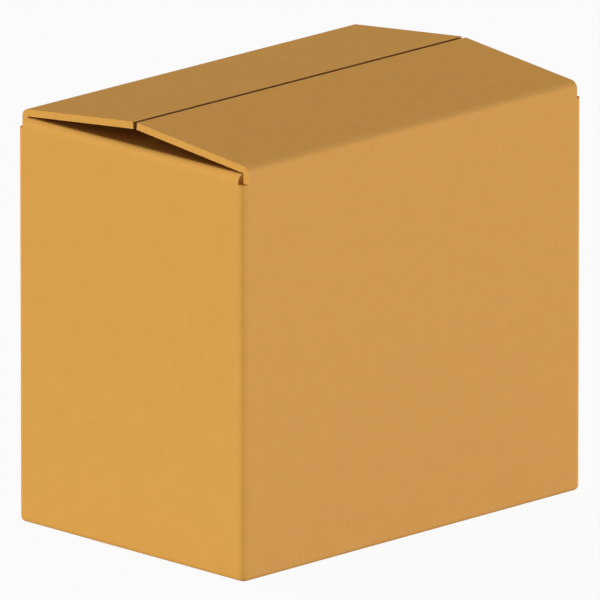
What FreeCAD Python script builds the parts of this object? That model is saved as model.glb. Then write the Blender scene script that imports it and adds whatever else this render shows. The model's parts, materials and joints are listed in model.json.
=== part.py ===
"""Closed shipping box, folded from one slotted blank of double-wall corrugated board.

The walls, the inner top flaps and the glued bottom are one folded sheet. The two outer top flaps
belong to the same sheet, and are solids of their own because they swing on their creases.
X runs along the long walls, Y across the box and Z up. The origin is under the middle of the box.
"""

import FreeCAD, Part
import math
import os

# Driving dimensions, in millimetres and degrees
length = 450.0              # over the end walls, along X
width = 300.0               # over the long walls, along Y
height = 400.0              # floor to the top of the outer flaps when they lie flat
board_t = 6.85              # double-wall board; an upright corner is sharp inside and has this radius outside
crease_r = 6.85             # outside of the creases of the outer top flaps
bottom_crease_r = 5.0       # outside of the hard-pressed creases all round the bottom
inner_fold_r = 2.15         # inside of the soft fold from an end wall into its inner top flap
slot_under_fold = 0.15      # floor of the corner slots below the start of that fold
seam_gap = 3.7              # between the free edges of a pair of outer flaps, both flat
rest_opening = 6.0          # the outer top flaps stand this far open
back_swing = 90.0           # past upright, where an outer top flap lies straight out
lap_width = 38.0            # glued strip that joins the sheet into a tube
lap_taper = 12.0            # how much each end of the strip slants over its width

# Clearances, in millimetres
flap_rest_gap = 0.3         # closed outer flap above the inner flaps
crease_gap = 0.15           # closed outer flap beside its wall, square to the mitre
swing_gap = 0.4             # outside of a flap beside its wall when it lies straight out
outer_end_clear = 0.25      # ends of the outer top flaps inside the end walls
inner_side_clear = 0.5      # sides of the inner flaps inside the long walls
bottom_end_gap = 1.2        # ends of the outer bottom flaps inside the end walls
lap_end_clear = 2.0         # ends of the glued strip off the inner flaps and their fold

# Levels and lengths that follow from them
inner_top = height - board_t - flap_rest_gap
inner_fold_start = inner_top - board_t - inner_fold_r
slot_floor = inner_fold_start - slot_under_fold
outer_flap_reach = (width - seam_gap) / 2
inner_flap_reach = outer_flap_reach + height - inner_top    # the blank's edge is one straight cut
outer_end_inset = board_t + outer_end_clear
inner_side_inset = board_t + inner_side_clear
inner_length = length - 2 * board_t
inner_width = width - 2 * board_t

# The swing axis of an outer top flap lies this far inside the wall's face and below the closed top.
# There the two rounded halves of the crease clear each other when the flap is right over
crease_spread = math.sin(math.radians(back_swing / 2)) + math.cos(math.radians(back_swing / 2))
pivot_inset = crease_r - (crease_r + swing_gap / 2) / crease_spread

X_AXIS = FreeCAD.Vector(1, 0, 0)
Y_AXIS = FreeCAD.Vector(0, 1, 0)
Z_AXIS = FreeCAD.Vector(0, 0, 1)
ORIGIN = FreeCAD.Vector(0, 0, 0)


def block(x_span, y_span, z_span):
    """A plain block between the given low and high coordinates."""
    low = FreeCAD.Vector(x_span[0], y_span[0], z_span[0])
    sizes = [span[1] - span[0] for span in (x_span, y_span, z_span)]
    return Part.makeBox(*sizes, low)


def prism(edges, push):
    """A closed outline of edges, filled and pushed along a vector."""
    return Part.Face(Part.Wire(edges)).extrude(push)


def chain(points):
    """Straight edges from each point to the next."""
    return [Part.LineSegment(a, b).toShape() for a, b in zip(points, points[1:])]


def half_turned(shape):
    """A copy on the opposite side of the box."""
    copy = shape.copy()
    copy.rotate(ORIGIN, Z_AXIS, 180)
    return copy


def fold_point(centre, radius, degrees, across):
    """A point round a fold: 180 degrees faces out of the wall and 90 faces up."""
    turn = math.radians(degrees)
    return centre + across * (radius * math.cos(turn)) + Z_AXIS * (radius * math.sin(turn))


def fold_arc(centre, radius, start, end, across):
    """The arc of a fold between two angles, as fold_point gives them."""
    stops = (start, (start + end) / 2, end)
    return Part.Arc(*[fold_point(centre, radius, stop, across) for stop in stops]).toShape()


def upright_block(z_low, z_high):
    """The whole plan of the box, with its four corners rounded, between two levels."""
    plan = block((-length / 2, length / 2), (-width / 2, width / 2), (z_low, z_high))
    corners = [e for e in plan.Edges if abs(e.tangentAt(e.FirstParameter).z) > 0.5]
    return plan.makeFillet(board_t, corners)


def wall_tube():
    """The four walls up to the floor of the corner slots, closed below by the bottom flaps."""
    tube = upright_block(0, slot_floor)
    standing = [e for e in tube.Edges if e.BoundBox.ZMax < board_t / 2]
    tube = tube.makeFillet(bottom_crease_r, standing)
    inside_x = (-inner_length / 2, inner_length / 2)
    inside_y = (-inner_width / 2, inner_width / 2)
    tube = tube.cut(block(inside_x, inside_y, (2 * board_t, slot_floor)))
    return tube.cut(bottom_gaps())


def bottom_gaps():
    """What the bottom flaps leave open: seam, end and side gaps, and the well between the inner ones."""
    outer_level = (0, board_t)
    inner_level = (board_t, 2 * board_t)
    inside_y = (-inner_width / 2, inner_width / 2)
    end = inner_length / 2
    side = inner_width / 2
    well = length / 2 - inner_flap_reach
    gaps = [
        block((-end, end), (-seam_gap / 2, seam_gap / 2), outer_level),
        block((-well, well), inside_y, inner_level),
    ]
    for sign in (-1, 1):
        ends = sorted((sign * end, sign * (end - bottom_end_gap)))
        sides = sorted((sign * side, sign * (side - inner_side_clear)))
        gaps.append(block(ends, inside_y, outer_level))
        gaps.append(block((-end, end), sides, inner_level))
    return gaps


def top_crease():
    """Where the front flap's crease starts: its end, the arc's centre and the sharp inner corner."""
    end = X_AXIS * (outer_end_inset - length / 2)
    centre = end + Y_AXIS * (crease_r - width / 2) + Z_AXIS * (height - crease_r)
    corner = end + Y_AXIS * (-inner_width / 2) + Z_AXIS * (height - board_t)
    return end, centre, corner


def long_wall_top():
    """The front wall above the slots, cut to a mitre along the crease of its flap."""
    end, centre, corner = top_crease()
    foot = end + Y_AXIS * (-width / 2) + Z_AXIS * slot_floor
    face_top = fold_point(centre, crease_r, 180, Y_AXIS)
    lip = fold_point(centre, crease_r, 135, Y_AXIS)
    inside_foot = foot + Y_AXIS * board_t
    edges = chain([foot, face_top])
    edges.append(fold_arc(centre, crease_r, 180, 135, Y_AXIS))
    edges += chain([lip, corner, inside_foot, foot])
    return prism(edges, X_AXIS * (length - 2 * outer_end_inset))


def end_wall_top():
    """One end wall above the slots, folding over into its inner top flap."""
    fold_r = board_t + inner_fold_r
    side = Y_AXIS * (inner_side_inset - width / 2)
    foot = side + X_AXIS * (-length / 2) + Z_AXIS * slot_floor
    centre = side + X_AXIS * (fold_r - length / 2) + Z_AXIS * inner_fold_start
    face_top = fold_point(centre, fold_r, 180, X_AXIS)
    flap_start = fold_point(centre, fold_r, 90, X_AXIS)
    flap_end = side + X_AXIS * (inner_flap_reach - length / 2) + Z_AXIS * inner_top
    flap_under = flap_end - Z_AXIS * board_t
    under_start = fold_point(centre, inner_fold_r, 90, X_AXIS)
    inside_top = fold_point(centre, inner_fold_r, 180, X_AXIS)
    inside_foot = foot + X_AXIS * board_t
    edges = chain([foot, face_top])
    edges.append(fold_arc(centre, fold_r, 180, 90, X_AXIS))
    edges += chain([flap_start, flap_end, flap_under, under_start])
    edges.append(fold_arc(centre, inner_fold_r, 90, 180, X_AXIS))
    edges += chain([inside_top, inside_foot, foot])
    return prism(edges, Y_AXIS * (width - 2 * inner_side_inset))


def glue_lap():
    """The strip folded off the rear wall and glued inside the end wall, with slanted ends."""
    x = inner_length / 2
    root = inner_width / 2
    low = 2 * board_t + lap_end_clear
    high = inner_fold_start - lap_end_clear
    corners = [
        FreeCAD.Vector(x, root, low),
        FreeCAD.Vector(x, root, high),
        FreeCAD.Vector(x, root - lap_width, high - lap_taper),
        FreeCAD.Vector(x, root - lap_width, low + lap_taper),
    ]
    return prism(chain(corners + corners[:1]), X_AXIS * -board_t)


def carton():
    """The folded sheet without its two outer top flaps."""
    front = long_wall_top()
    end = end_wall_top()
    pieces = [front, half_turned(front), end, half_turned(end), glue_lap()]
    return wall_tube().fuse(pieces).removeSplitter()


def front_top_flap():
    """The outer flap of the front wall, from its half of the crease to the seam, at rest."""
    end, centre, corner = top_crease()
    lip_angle = 135 - math.degrees(math.asin(crease_gap / crease_r))
    lip = fold_point(centre, crease_r, lip_angle, Y_AXIS)
    top_start = fold_point(centre, crease_r, 90, Y_AXIS)
    free_top = end + Y_AXIS * (outer_flap_reach - width / 2) + Z_AXIS * height
    free_under = free_top - Z_AXIS * board_t
    under_start = corner + Y_AXIS * (crease_gap * math.sqrt(2))
    edges = [fold_arc(centre, crease_r, lip_angle, 90, Y_AXIS)]
    edges += chain([top_start, free_top, free_under, under_start, lip])
    flap = prism(edges, X_AXIS * (length - 2 * outer_end_inset))
    pivot = Y_AXIS * (pivot_inset - width / 2) + Z_AXIS * (height - pivot_inset)
    flap.rotate(pivot, X_AXIS, rest_opening)
    return flap


def build():
    """Every sub-part by its name."""
    front = front_top_flap()
    return {
        "carton": carton(),
        "front_top_flap": front,
        "rear_top_flap": half_turned(front),
    }


os.makedirs("parts", exist_ok=True)
for name, shape in build().items():
    shape.exportStep("parts/" + name + ".step")
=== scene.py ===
"""Looks of a closed cardboard shipping box, dressed around its fixed frame.

The box is folded from one slotted blank of double-wall corrugated board with plain kraft liners.
The frame holds the folded sheet and the two outer top flaps. This script adds the board that rolls
in the two top creases and the fluted middle that shows at the cut edges of the flaps. It finishes
every surface, and sets the floor, lamps and camera.
Row-frame axes: X along the long walls, Y across the box, Z up.
"""

import json
import logging
import math
from dataclasses import dataclass, field
from enum import Enum

import bmesh
import bpy
from mathutils import Matrix, Vector

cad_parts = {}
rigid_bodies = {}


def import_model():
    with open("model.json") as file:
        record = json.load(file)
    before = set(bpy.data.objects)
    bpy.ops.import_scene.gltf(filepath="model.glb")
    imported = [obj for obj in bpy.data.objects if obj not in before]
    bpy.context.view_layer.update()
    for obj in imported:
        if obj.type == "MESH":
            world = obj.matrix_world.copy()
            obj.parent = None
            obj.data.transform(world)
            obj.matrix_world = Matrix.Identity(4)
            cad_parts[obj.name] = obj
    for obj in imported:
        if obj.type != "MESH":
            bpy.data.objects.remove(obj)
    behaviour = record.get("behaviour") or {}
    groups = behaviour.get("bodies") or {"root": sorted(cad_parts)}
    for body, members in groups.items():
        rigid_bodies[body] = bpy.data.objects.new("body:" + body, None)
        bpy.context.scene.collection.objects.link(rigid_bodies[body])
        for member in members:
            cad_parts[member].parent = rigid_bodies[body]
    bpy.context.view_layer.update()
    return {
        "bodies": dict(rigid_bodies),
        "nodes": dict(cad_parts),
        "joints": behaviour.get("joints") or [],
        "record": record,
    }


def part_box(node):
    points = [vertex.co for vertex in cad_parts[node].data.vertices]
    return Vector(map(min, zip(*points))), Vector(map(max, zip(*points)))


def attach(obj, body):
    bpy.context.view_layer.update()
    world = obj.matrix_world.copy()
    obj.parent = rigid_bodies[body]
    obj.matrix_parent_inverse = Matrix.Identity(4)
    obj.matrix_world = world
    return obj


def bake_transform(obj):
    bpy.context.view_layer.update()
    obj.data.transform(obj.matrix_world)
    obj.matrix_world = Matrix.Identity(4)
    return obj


LOG = logging.getLogger("cardboard_box")
MM = 0.001
CELLULOSE_IOR = 1.47
WHITE = (1.0, 1.0, 1.0, 1.0)

# Sockets of a mix node in its colour form, which come after those of its number form
FIRST_COLOUR, SECOND_COLOUR, MIXED_COLOUR = 6, 7, 2


class Side(Enum):
    """The two long sides of the box, with the half turn about Z that carries the front to each."""

    FRONT = 0
    REAR = 180

    @property
    def turn(self) -> Matrix:
        """The turn about the box's upright middle line, from the front to this side."""
        return Matrix.Rotation(math.radians(self.value), 4, "Z")

    @property
    def title(self) -> str:
        """The side's name in lower case, as the frame spells it."""
        return self.name.lower()


class Slot(Enum):
    """Material slots of the record."""

    BOARD = "kraft_board"


def linear(hex_colour: str) -> tuple[float, float, float, float]:
    """Turn an sRGB hex colour into linear RGBA.

    Args:
        hex_colour: six hex digits after a hash mark.

    Returns:
        Red, green, blue and an alpha of one.
    """
    channels = [int(hex_colour[i:i + 2], 16) / 255 for i in (1, 3, 5)]
    bent = [c / 12.92 if c <= 0.04045 else ((c + 0.055) / 1.055) ** 2.4 for c in channels]
    return (*bent, 1.0)


def add_node(tree: bpy.types.NodeTree, kind: str, values: dict | None = None,
             **settings: object) -> bpy.types.Node:
    """Add one shader node with its settings, constants and links.

    Args:
        tree: the node tree that takes the node.
        kind: the node's type name.
        values: input names or numbers, each with a constant or with the output socket to link.
        **settings: the node's own properties.

    Returns:
        The new node.
    """
    node = tree.nodes.new(kind)
    for name, value in settings.items():
        setattr(node, name, value)
    for key, value in (values or {}).items():
        if isinstance(value, bpy.types.NodeSocket):
            tree.links.new(value, node.inputs[key])
        else:
            node.inputs[key].default_value = value
    return node


def new_material(name: str) -> tuple[bpy.types.Material, bpy.types.NodeTree]:
    """Make a material with an empty node tree.

    Args:
        name: the material's name.

    Returns:
        The material and its tree.
    """
    material = bpy.data.materials.new(name)
    material.use_nodes = True
    material.node_tree.nodes.clear()
    return material, material.node_tree


@dataclass(frozen=True)
class KraftLiner:
    """Unbleached kraft linerboard, made on a paper machine and glued over the flutes, uncoated.

    The sheet is a warm even brown. Long softwood fibres lie mostly along the machine direction and
    show as faint strands, the pulp's formation as soft cloudy patches, and the flute tips under the
    glue line as a trace of washboard. Uncoated paper scatters nearly all the light it returns.
    """

    tone: str = "#D9A14C"
    strand_tone: str = "#CF9745"
    strand_share: float = 0.22       # of the strands' tone in the sheet, on average
    mean_depth: float = 0.25         # average of the strands and the clouds multiplied
    strand_length_mm: float = 5.0
    strand_width_mm: float = 0.9     # real fibres are 0.03 mm wide, drawn coarse so that they show
    strand_lean: tuple[float, float, float] = (0.0, 3.0, 2.0)   # degrees off the board's axes
    cloud_mm: float = 22.0
    flute_pitch_mm: float = 7.9
    washboard_mm: float = 0.02
    tooth_mm: float = 0.03           # height of the fibre mat's tooth
    end_facing: float = 0.6          # a normal with more X than this is an end wall's
    roughness: float = 0.80
    ior: float = CELLULOSE_IOR
    specular_level: float = 0.15     # the open fibre mat breaks up most of a film's gloss

    def build(self) -> bpy.types.Material:
        """Make the material.

        Returns:
            The kraft liner, worked out from positions in the row frame.
        """
        material, tree = new_material("kraft_liner")
        place = add_node(tree, "ShaderNodeTexCoord")
        strands = self.strands(tree, place)
        cloud = add_node(tree, "ShaderNodeTexNoise", {
            "Vector": place.outputs["Object"], "Scale": 1 / (self.cloud_mm * MM), "Detail": 2.0})
        depth = add_node(tree, "ShaderNodeMath", {
            0: strands.outputs[0], 1: cloud.outputs["Fac"]}, operation="MULTIPLY")
        share = add_node(tree, "ShaderNodeMath", {
            0: depth.outputs[0], 1: self.strand_share / self.mean_depth},
            operation="MULTIPLY", use_clamp=True)
        colour = add_node(tree, "ShaderNodeMix", {
            "Factor": share.outputs[0], FIRST_COLOUR: linear(self.tone),
            SECOND_COLOUR: linear(self.strand_tone)}, data_type="RGBA")
        washboard = self.washboard(tree, place)
        tooth = add_node(tree, "ShaderNodeBump", {
            "Height": strands.outputs[0], "Distance": self.tooth_mm * MM, "Strength": 0.5})
        ridge = add_node(tree, "ShaderNodeBump", {
            "Height": washboard.outputs[0], "Distance": self.washboard_mm * MM, "Strength": 1.0,
            "Normal": tooth.outputs[0]})
        shader = add_node(tree, "ShaderNodeBsdfPrincipled", {
            "Base Color": colour.outputs[MIXED_COLOUR], "Normal": ridge.outputs[0],
            "Roughness": self.roughness, "IOR": self.ior,
            "Specular IOR Level": self.specular_level})
        add_node(tree, "ShaderNodeOutputMaterial", {"Surface": shader.outputs[0]})
        return material

    def strands(self, tree: bpy.types.NodeTree, place: bpy.types.Node) -> bpy.types.Node:
        """Add the fibre strands, long across the flutes and short along them.

        Args:
            tree: the material's tree.
            place: the texture coordinates.

        Returns:
            A node whose first output is the strands' height, 0 to 1.
        """
        long_scale = 1 / (self.strand_length_mm * MM)
        short_scale = 1 / (self.strand_width_mm * MM)
        lie = add_node(tree, "ShaderNodeMapping", {
            "Vector": place.outputs["Object"],
            "Rotation": tuple(math.radians(lean) for lean in self.strand_lean),
            "Scale": (long_scale, long_scale, short_scale)})
        fibre = add_node(tree, "ShaderNodeTexNoise", {
            "Vector": lie.outputs[0], "Scale": 1.0, "Detail": 3.0, "Roughness": 0.6})
        return add_node(tree, "ShaderNodeMapRange", {
            "Value": fibre.outputs["Fac"], "From Min": 0.3, "From Max": 0.7})

    def washboard(self, tree: bpy.types.NodeTree, place: bpy.types.Node) -> bpy.types.Node:
        """Add the trace of the flute tips, which run up the walls and across each flap.

        Args:
            tree: the material's tree.
            place: the texture coordinates.

        Returns:
            A node whose first output is the washboard's height.
        """
        facing = add_node(tree, "ShaderNodeSeparateXYZ", {0: place.outputs["Normal"]})
        point = add_node(tree, "ShaderNodeSeparateXYZ", {0: place.outputs["Object"]})
        along_x = add_node(tree, "ShaderNodeMath", {0: facing.outputs["X"]}, operation="ABSOLUTE")
        is_end = add_node(tree, "ShaderNodeMath", {
            0: along_x.outputs[0], 1: self.end_facing}, operation="GREATER_THAN")
        run = add_node(tree, "ShaderNodeMix", {
            "Factor": is_end.outputs[0], "A": point.outputs["X"], "B": point.outputs["Y"]})
        phase = add_node(tree, "ShaderNodeMath", {
            0: run.outputs[0], 1: 2 * math.pi / (self.flute_pitch_mm * MM)}, operation="MULTIPLY")
        return add_node(tree, "ShaderNodeMath", {0: phase.outputs[0]}, operation="SINE")


@dataclass(frozen=True)
class MottledPaper:
    """Uncoated paper in two close tones, mottled by its own fibres."""

    title: str
    tone: str
    mottle_tone: str
    mottle_mm: float
    mottle_detail: float
    roughness: float
    ior: float = CELLULOSE_IOR
    specular_level: float = 0.1

    def build(self) -> bpy.types.Material:
        """Make the material.

        Returns:
            The paper, worked out from positions in the row frame.
        """
        material, tree = new_material(self.title)
        place = add_node(tree, "ShaderNodeTexCoord")
        mottle = add_node(tree, "ShaderNodeTexNoise", {
            "Vector": place.outputs["Object"], "Scale": 1 / (self.mottle_mm * MM),
            "Detail": self.mottle_detail})
        colour = add_node(tree, "ShaderNodeMix", {
            "Factor": mottle.outputs["Fac"], FIRST_COLOUR: linear(self.tone),
            SECOND_COLOUR: linear(self.mottle_tone)}, data_type="RGBA")
        shader = add_node(tree, "ShaderNodeBsdfPrincipled", {
            "Base Color": colour.outputs[MIXED_COLOUR], "Roughness": self.roughness,
            "IOR": self.ior, "Specular IOR Level": self.specular_level})
        add_node(tree, "ShaderNodeOutputMaterial", {"Surface": shader.outputs[0]})
        return material


@dataclass(frozen=True)
class FlutePaper(MottledPaper):
    """Semi-chemical fluting paper and liner edges, cut by a slotting knife.

    The raw cut is a shade greyer than the liners' faces, fuzzy with torn fibres, and quite matt.
    """

    title: str = "cut_fluting_paper"
    tone: str = "#C99656"
    mottle_tone: str = "#B98648"
    mottle_mm: float = 0.8           # torn fibre ends, drawn coarse enough to show
    mottle_detail: float = 3.0
    roughness: float = 0.85


@dataclass(frozen=True)
class FluteHollowShade(MottledPaper):
    """Painted shade for the inside of the flutes, seen between the cut papers: the paper's colour
    darkened to stand for its low light.
    """

    title: str = "flute_hollow_paper"
    # Both tones are painted shade: the cut paper's brown darkened as in the flutes' low light
    tone: str = "#A5763A"
    mottle_tone: str = "#8F6530"
    mottle_mm: float = 3.0           # about half a flute, so that the painted shade differs from one flute to the next
    mottle_detail: float = 1.0
    roughness: float = 0.9


def mesh_piece(name: str, work: bmesh.types.BMesh,
               materials: list[bpy.types.Material]) -> bpy.types.Object:
    """Turn a finished bmesh into an object in the scene.

    Args:
        name: the piece's name.
        work: the mesh, in metres in the row frame; it is freed.
        materials: the piece's material slots in order.

    Returns:
        The new object.
    """
    bmesh.ops.recalc_face_normals(work, faces=work.faces)
    mesh = bpy.data.meshes.new(name)
    work.to_mesh(mesh)
    work.free()
    for material in materials:
        mesh.materials.append(material)
    piece = bpy.data.objects.new(name, mesh)
    bpy.context.scene.collection.objects.link(piece)
    LOG.info("%s: %d vertices, %d faces", name, len(mesh.vertices), len(mesh.polygons))
    return piece


@dataclass
class Board:
    """Sizes of the folded sheet, in millimetres. Those without a value come from the frame."""

    thickness: float = 6.85
    crease_radius: float = 6.85      # outside of the creases of the outer top flaps
    crease_gap: float = 0.15         # closed outer flap beside its wall, square to the mitre
    seam_gap: float = 3.7            # between the free edges of a pair of outer flaps, both flat
    flap_rest_gap: float = 0.3       # closed outer flap above the inner flaps
    outer_end_clear: float = 0.25    # ends of the outer top flaps inside the end walls
    inner_side_clear: float = 0.5    # sides of the inner flaps inside the long walls
    bottom_end_gap: float = 1.2      # ends of the outer bottom flaps inside the end walls
    length: float = field(init=False)
    width: float = field(init=False)
    height: float = field(init=False)
    inner_top: float = field(init=False)
    pivot_y: float = field(init=False)
    pivot_z: float = field(init=False)
    pivot_inset: float = field(init=False)
    rest_opening: float = field(init=False)

    def read(self, frame: dict) -> None:
        """Take the overall sizes and the crease axis from the frame.
        """
        low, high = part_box("carton")
        self.length = (high.x - low.x) / MM
        self.width = (high.y - low.y) / MM
        joint = next(j for j in frame["joints"] if j["name"] == "front_flap_crease")
        self.pivot_y = joint["pos_m"][1] / MM
        self.pivot_z = joint["pos_m"][2] / MM
        self.rest_opening = -math.radians(joint["range_deg"][0])
        self.pivot_inset = self.width / 2 + self.pivot_y
        self.height = self.pivot_z + self.pivot_inset
        self.inner_top = self.height - self.thickness - self.flap_rest_gap

    @property
    def pivot(self) -> Vector:
        """A point on the front crease's axis, in millimetres."""
        return Vector((0, self.pivot_y, self.pivot_z))

    def opened(self) -> Matrix:
        """The turn of the front flap from flat to rest, about its crease, in millimetres."""
        about = Matrix.Translation(self.pivot)
        return about @ Matrix.Rotation(self.rest_opening, 4, "X") @ about.inverted()


@dataclass(frozen=True)
class CreaseSection:
    """The section of the front crease in the YZ plane, in millimetres, from wall to flap."""

    outer: list[Vector]
    inner: list[Vector]
    flap_corner: Vector
    normal: Vector                   # square to the mitre
    turning: float                   # width of the part that turns, along the normal


@dataclass
class CreaseRoll:
    """The board that rolls in one top crease, between the wall's mitre and the flap's.

    At rest it is a sliver of board.
    """

    board: Board
    side: Side
    layers: int = 36
    end_inset: float = 0.02          # millimetres, keeps the ends just inside the cut ends
    mitre_degrees: float = 135.0     # round the crease, where 90 faces up and 180 out of the wall
    end_facing: float = 0.5          # a normal with at least this much X is an end's

    def section(self) -> CreaseSection:
        """Work out the front crease's section.

        Returns:
            Its points, the mitre's normal and the width that turns.
        """
        board = self.board
        inwards = Vector((0, 1, -1))
        normal = Vector((0, 1, 1)).normalized()
        centre = board.pivot + inwards * (board.crease_radius - board.pivot_inset)
        crease = board.pivot + inwards * (board.thickness - board.pivot_inset)
        lip = centre - inwards.normalized() * board.crease_radius
        gap_angle = math.asin(board.crease_gap / board.crease_radius)
        past = math.radians(self.mitre_degrees) - gap_angle
        flap_lip = centre + Vector((0, math.cos(past), math.sin(past))) * board.crease_radius
        flap_lip = board.opened() @ flap_lip
        flap_corner = crease + Vector((0, board.crease_gap * math.sqrt(2), 0))
        flap_corner = board.opened() @ flap_corner
        turning = (flap_lip - lip).dot(normal)
        inner_run = (flap_corner - crease) / (flap_corner - crease).dot(normal)
        outer, inner = [], []
        for layer in range(self.layers + 1):
            weight = layer / self.layers
            # Where a smooth step reaches this weight
            along = 0.5 - math.sin(math.asin(1 - 2 * weight) / 3)
            outer.append(lip.lerp(flap_lip, along))
            inner.append(crease + inner_run * (turning * along))
        return CreaseSection(outer, inner, flap_corner, normal, turning)

    def build(self, material: bpy.types.Material) -> bpy.types.Object:
        """Make the roll and dress it.

        Args:
            material: the kraft liner.

        Returns:
            The piece.
        """
        section = self.section()
        work = bmesh.new()
        self.skin(work, section)
        piece = mesh_piece(self.side.title + "_crease_roll", work, [material])
        self.smooth(piece)
        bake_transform(piece)
        return piece

    def skin(self, work: bmesh.types.BMesh, section: CreaseSection) -> None:
        """Add the roll's closed skin, the whole length of its flap.

        Args:
            work: the mesh that takes it.
            section: the front crease's section.
        """
        low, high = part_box(self.side.title + "_top_flap")
        half = (high.x - low.x) / MM / 2 - self.end_inset
        ends = []
        for x in (-half, half):
            shift = Vector((x, 0, 0))
            rows = (section.outer, section.inner, [section.flap_corner])
            ends.append([[work.verts.new(self.placed(p + shift)) for p in row] for row in rows])
        (outer_a, inner_a, tip_a), (outer_b, inner_b, tip_b) = ends
        for k in range(self.layers):
            work.faces.new((outer_a[k], outer_a[k + 1], outer_b[k + 1], outer_b[k]))
            work.faces.new((inner_a[k], inner_b[k], inner_b[k + 1], inner_a[k + 1]))
            work.faces.new((outer_a[k], inner_a[k], inner_a[k + 1], outer_a[k + 1]))
            work.faces.new((outer_b[k], outer_b[k + 1], inner_b[k + 1], inner_b[k]))
        work.faces.new((outer_a[0], outer_b[0], inner_b[0], inner_a[0]))
        work.faces.new((outer_a[-1], inner_a[-1], tip_a[0]))
        work.faces.new((outer_b[-1], tip_b[0], inner_b[-1]))
        work.faces.new((inner_a[-1], inner_b[-1], tip_b[0], tip_a[0]))
        work.faces.new((outer_a[-1], tip_a[0], tip_b[0], outer_b[-1]))

    def placed(self, point: Vector) -> Vector:
        """Turn a front point in millimetres into this side's point in metres."""
        return self.side.turn @ (point * MM)

    def smooth(self, piece: bpy.types.Object) -> None:
        """Shade the rolled faces smoothly and keep the ends crisp.

        Args:
            piece: the roll.
        """
        mesh = piece.data
        end_edges = set()
        for face in mesh.polygons:
            face.use_smooth = abs(face.normal.x) < self.end_facing
            if not face.use_smooth:
                end_edges.update(face.edge_keys)
        for edge in mesh.edges:
            edge.use_edge_sharp = edge.key in end_edges


@dataclass
class CutEdge:
    """The cut edge of a flap, where the knife crossed the flutes: three liners and two waves.

    Built along local X with the board's outside at the top of local Z and the cut facing local Y.
    A sheet behind the papers is painted with the shade inside the flutes. All sizes are in
    millimetres.
    """

    board: Board
    name: str
    body: str
    length: float
    place: Matrix
    liner: float = 0.35              # thickness of a liner
    paper: float = 0.30              # thickness of the fluting paper
    relief: float = 0.35             # how far the papers stand out of the cut
    shade_backing: float = 0.03            # how far the sheet of painted shade behind the papers stands out of the cut
    margin: float = 0.04             # how far the strip stays inside the board's faces
    steps: int = 12                  # sections to one flute
    outer_flute_height: float = 2.45
    outer_flute_pitch: float = 6.3
    inner_flute_pitch: float = 7.9

    def build(self, paper: bpy.types.Material, hollow_shade: bpy.types.Material) -> bpy.types.Object:
        """Make the strip and let it ride with its flap.

        Args:
            paper: the cut papers' material.
            hollow_shade: the material between them.

        Returns:
            The piece.
        """
        work = bmesh.new()
        low = self.margin
        top = self.board.thickness - self.margin
        middle = top - self.liner - self.outer_flute_height
        # The sheet behind the papers carries painted shade, standing for the shadow inside the
        # flutes
        self.bar(work, low, top, self.shade_backing, 1)
        self.bar(work, top - self.liner, top, self.relief, 0)
        self.bar(work, middle - self.liner, middle, self.relief, 0)
        self.bar(work, low, low + self.liner, self.relief, 0)
        self.wave(work, middle, top - self.liner, self.outer_flute_pitch)
        self.wave(work, low + self.liner, middle - self.liner, self.inner_flute_pitch)
        bmesh.ops.transform(work, matrix=Matrix.Scale(MM, 4) @ self.place, verts=work.verts)
        piece = mesh_piece(self.name, work, [paper, hollow_shade])
        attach(piece, self.body)
        return piece

    def bar(self, work: bmesh.types.BMesh, low: float, high: float, proud: float,
            slot: int) -> None:
        """Add a straight layer of paper along the edge.

        Args:
            work: the strip's mesh.
            low: its lower level.
            high: its upper level.
            proud: how far it stands out of the cut.
            slot: its material slot.
        """
        half = self.length / 2
        self.ribbon(work, [(-half, low, high), (half, low, high)], proud, slot)

    def wave(self, work: bmesh.types.BMesh, low: float, high: float, pitch: float) -> None:
        """Add one wavy layer of paper between two liners.

        Args:
            work: the strip's mesh.
            low: the level of the liner under it.
            high: the level of the liner over it.
            pitch: from one flute to the next.
        """
        swing = (high - low - self.paper) / 2
        centre = (high + low) / 2
        turns = int(self.length / pitch)
        sections = []
        for i in range(turns * self.steps + 1):
            phase = 2 * math.pi * i / self.steps
            x = -self.length / 2 + self.length * i / (turns * self.steps)
            z = centre - swing * math.cos(phase)
            slope = swing * math.sin(phase) * 2 * math.pi / pitch
            upright = self.paper / 2 * math.sqrt(1 + slope * slope)
            sections.append((x, max(low, z - upright), min(high, z + upright)))
        self.ribbon(work, sections, self.relief, 0)

    def ribbon(self, work: bmesh.types.BMesh, sections: list[tuple[float, float, float]],
               proud: float, slot: int) -> None:
        """Add a closed ribbon that stands out of the cut.

        Args:
            work: the strip's mesh.
            sections: position along the edge, lower level and upper level of each section.
            proud: how far it stands out.
            slot: its material slot.
        """
        rings = []
        for x, low, high in sections:
            corners = ((0, low), (0, high), (proud, high), (proud, low))
            rings.append([work.verts.new((x, y, z)) for y, z in corners])
        faces = [work.faces.new(rings[0]), work.faces.new(rings[-1][::-1])]
        for a, b in zip(rings, rings[1:]):
            for k in range(4):
                faces.append(work.faces.new((a[k], b[k], b[(k + 1) % 4], a[(k + 1) % 4])))
        for face in faces:
            face.material_index = slot


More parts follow.
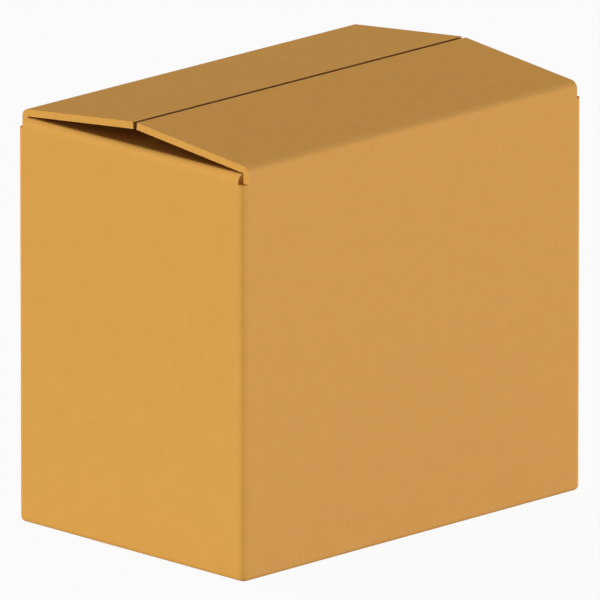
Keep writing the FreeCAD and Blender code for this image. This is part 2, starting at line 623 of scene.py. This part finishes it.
@dataclass
class FoldedBox:
    """The whole box: its three sheets from the frame and the pieces that finish them."""

    board: Board

    def dress_sheets(self, frame: dict, liner: bpy.types.Material) -> None:
        """Give each sheet of the frame the kraft liner.

        Args:
            liner: the kraft liner.
        """
        for name, sheet in frame["nodes"].items():
            for slot in sheet.material_slots:
                slot.material = liner
            LOG.info("%s: dressed in %s", name, liner.name)

    def cut_edges(self) -> list[CutEdge]:
        """List the cut edges of the four pairs of flaps.

        Returns:
            One strip for each flap.
        """
        board = self.board
        thickness = board.thickness
        outer_x = board.length / 2 - thickness - board.outer_end_clear
        inner_y = board.width / 2 - thickness - board.inner_side_clear
        bottom_x = board.length / 2 - thickness - board.bottom_end_gap
        reach = (board.width - board.seam_gap) / 2
        tip = board.length / 2 - reach - (board.height - board.inner_top)
        along_y = Matrix.Rotation(math.radians(-90), 4, "Z")
        flat_outer = Matrix.Translation((0, -board.seam_gap / 2, board.height - thickness))
        inner_top = Matrix.Translation((-tip, 0, board.inner_top - thickness)) @ along_y
        inner_bottom = Matrix.Translation((-tip, 0, thickness)) @ along_y
        outer_bottom = Matrix.Translation((0, -board.seam_gap / 2, 0))
        edges = []
        for side in Side:
            name = side.title
            rows = (
                ("outer_top_cut", name + "_flap", 2 * outer_x, board.opened() @ flat_outer),
                ("inner_top_cut", "carton", 2 * inner_y, inner_top),
                ("inner_bottom_cut", "carton", 2 * inner_y, inner_bottom),
                ("outer_bottom_cut", "carton", 2 * bottom_x, outer_bottom),
            )
            for title, body, length, place in rows:
                edges.append(CutEdge(board, name + "_" + title, body, length, side.turn @ place))
        return edges

    def build(self, frame: dict) -> None:
        """Make every piece and dress it.
        """
        liner = KraftLiner().build()
        paper = FlutePaper().build()
        # Painted shade for the insides of the flutes, on the sheet behind the cut papers
        hollow_shade = FluteHollowShade().build()
        self.dress_sheets(frame, liner)
        for side in Side:
            CreaseRoll(self.board, side).build(liner)
        for edge in self.cut_edges():
            edge.build(paper, hollow_shade)


@dataclass(frozen=True)
class Lamp:
    """A distant soft lamp. Its angles are in degrees.

    bearing is where its light comes from, about Z from +X towards +Y, and height is how far that
    is above the floor. level is what it gives a surface that faces it, where 1 shows a colour as
    it is written.
    """

    name: str
    bearing: float
    height: float
    level: float
    tint: str = "#FFFFFF"
    softness: float = 4.0

    def build(self) -> None:
        """Add the lamp to the scene."""
        light = bpy.data.lights.new(self.name, "SUN")
        light.energy = math.pi * self.level
        light.color = linear(self.tint)[:3]
        light.angle = math.radians(self.softness)
        lamp = bpy.data.objects.new(self.name, light)
        turn, lift = math.radians(self.bearing), math.radians(self.height)
        towards = Vector((
            math.cos(turn) * math.cos(lift), math.sin(turn) * math.cos(lift), math.sin(lift)))
        lamp.rotation_mode = "QUATERNION"
        lamp.rotation_quaternion = towards.to_track_quat("Z", "Y")
        bpy.context.scene.collection.objects.link(lamp)


@dataclass
class Studio:
    """Floor, surrounding light, lamps and the camera."""

    ambient: float = 0.17            # level of the surrounding light
    floor_half_m: float = 12.0
    floor_tone: str = "#A9A7A4"
    floor_white: float = 0.95        # share of the floor's look that is plain white
    covered_inset_mm: float = 10.0   # the covered part of the floor stays this far inside the walls
    lamps: tuple[Lamp, ...] = (
        Lamp("end_lamp", bearing=175, height=1, level=0.786, softness=2.0),
        Lamp("side_lamp", bearing=310, height=4, level=1.15, tint="#E7E7FF", softness=6.0),
        Lamp("top_lamp", bearing=90, height=42, level=0.516, tint="#FFFAF5", softness=16.0),
    )
    azimuth: float = -45.0
    elevation: float = 15.54
    lens_mm: float = 1600.0          # so long that the view is all but parallel, as the photo's is
    frame_px: float = 600.0
    px_per_mm: float = 1.0653
    origin_px: tuple[float, float] = (300.3, 505.8)
    sharp_depth_mm: float = 80.0     # where the scale holds, in front of the origin

    def build(self) -> None:
        """Add everything that isn't the box."""
        self.surround()
        self.floor()
        for lamp in self.lamps:
            lamp.build()
        self.camera()
        bpy.context.scene.view_settings.view_transform = "Standard"

    def seen_directly(self, tree: bpy.types.NodeTree) -> bpy.types.NodeSocket:
        """Add what tells rays that show the background from rays that only carry light.

        Args:
            tree: the node tree that takes the nodes.

        Returns:
            A socket that is 1 for camera, glossy and transmission rays.
        """
        path = add_node(tree, "ShaderNodeLightPath")
        shiny = add_node(tree, "ShaderNodeMath", {
            0: path.outputs["Is Camera Ray"],
            1: path.outputs["Is Glossy Ray"]}, operation="MAXIMUM")
        shown = add_node(tree, "ShaderNodeMath", {
            0: shiny.outputs[0], 1: path.outputs["Is Transmission Ray"]}, operation="MAXIMUM")
        return shown.outputs[0]

    def surround(self) -> None:
        """Set an even surrounding light, which shows as white."""
        world = bpy.data.worlds.new("studio")
        bpy.context.scene.world = world
        world.use_nodes = True
        tree = world.node_tree
        tree.nodes.clear()
        strength = add_node(tree, "ShaderNodeMapRange", {
            "Value": self.seen_directly(tree), "To Min": self.ambient, "To Max": 1.0})
        light = add_node(tree, "ShaderNodeBackground", {
            "Color": WHITE, "Strength": strength.outputs[0]})
        add_node(tree, "ShaderNodeOutputWorld", {"Surface": light.outputs[0]})

    def floor_finish(self, name: str, white_share: float) -> bpy.types.Material:
        """Make the floor's matt paint.

        Args:
            name: the material's name.
            white_share: share of its look that is plain white, where it is seen directly.

        Returns:
            The paint.
        """
        material, tree = new_material(name)
        paint = add_node(tree, "ShaderNodeBsdfDiffuse", {"Color": linear(self.floor_tone)})
        white = add_node(tree, "ShaderNodeEmission", {"Color": WHITE, "Strength": 1.0})
        share = add_node(tree, "ShaderNodeMath", {
            0: self.seen_directly(tree), 1: white_share}, operation="MULTIPLY")
        look = add_node(tree, "ShaderNodeMixShader", {
            0: share.outputs[0], 1: paint.outputs[0], 2: white.outputs[0]})
        add_node(tree, "ShaderNodeOutputMaterial", {"Surface": look.outputs[0]})
        return material

    def floor(self) -> None:
        """Lay a plain pale floor that keeps a faint shadow.

        The part that the box covers has its paint alone, so it is dark behind the bottom's seam.
        """
        open_floor = self.floor_finish("pale_floor", self.floor_white)
        covered_floor = self.floor_finish("covered_floor", 0.0)
        low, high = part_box("carton")
        inset = self.covered_inset_mm * MM
        edge = self.floor_half_m
        columns = (-edge, low.x + inset, high.x - inset, edge)
        rows = (-edge, low.y + inset, high.y - inset, edge)
        work = bmesh.new()
        points = [[work.verts.new((x, y, 0)) for x in columns] for y in rows]
        for i, (near, far) in enumerate(zip(points, points[1:])):
            for j in range(len(columns) - 1):
                face = work.faces.new((near[j], near[j + 1], far[j + 1], far[j]))
                # The middle one of the nine faces is the covered one
                face.material_index = int(i == j == 1)
        floor = mesh_piece("floor", work, [open_floor, covered_floor])

    def camera(self) -> None:
        """Set the camera at the photo's angle, aimed at what the photo's middle shows."""
        turn, lift = math.radians(self.azimuth), math.radians(self.elevation)
        back = Vector((
            math.sin(turn) * math.cos(lift), -math.cos(turn) * math.cos(lift), math.sin(lift)))
        right = Vector((math.cos(turn), math.sin(turn), 0))
        up = back.cross(right)
        middle = self.frame_px / 2
        across = (middle - self.origin_px[0]) / self.px_per_mm * MM
        rise = (self.origin_px[1] - middle) / self.px_per_mm * MM
        data = bpy.data.cameras.new("camera")
        data.lens = self.lens_mm
        distance = self.frame_px / self.px_per_mm * MM * data.lens / data.sensor_width
        data.clip_end = distance * 2
        camera = bpy.data.objects.new("camera", data)
        aim = right * across + up * rise + back * self.sharp_depth_mm * MM
        camera.location = aim + back * distance
        camera.rotation_mode = "QUATERNION"
        camera.rotation_quaternion = (-back).to_track_quat("-Z", "Y")
        bpy.context.scene.collection.objects.link(camera)
        bpy.context.scene.camera = camera


def main() -> None:
    """Load the frame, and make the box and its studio."""
    logging.basicConfig(level=logging.INFO, format="%(name)s: %(message)s")
    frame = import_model()
    board = Board()
    board.read(frame)
    FoldedBox(board).build(frame)
    Studio().build()


if __name__ == "__main__":
    main()
